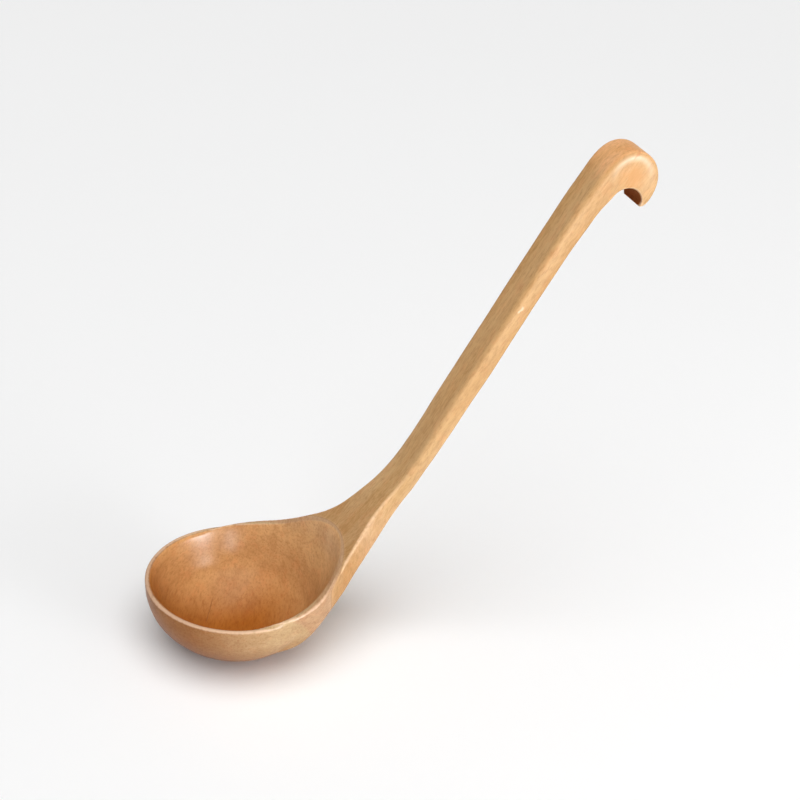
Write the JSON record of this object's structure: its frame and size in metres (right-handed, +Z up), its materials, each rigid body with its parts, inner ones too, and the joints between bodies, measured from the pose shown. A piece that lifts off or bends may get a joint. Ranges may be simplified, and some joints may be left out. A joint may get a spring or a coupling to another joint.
{
  "type": "soup ladle",
  "caption": "Wooden soup ladle with a round bowl, a rising flared neck and a long slender handle that ends in a hook for hanging.",
  "frame": {"origin": "lowest point of the bowl's outside, on the bowl's axis", "axes": "+Z up along the bowl's axis with the rim level, +X from the bowl towards the hook, +Y across the handle"},
  "size_m": [0.2174, 0.08, 0.225],
  "materials": {
    "wood_bowl": "oiled, softly glossy, pale orange-brown",
    "wood_handle": "oiled, satin, pale tan"
  },
  "bodies": {
    "root": {"bowl": "wood_bowl", "handle": "wood_handle"}
  },
  "joints": []
}
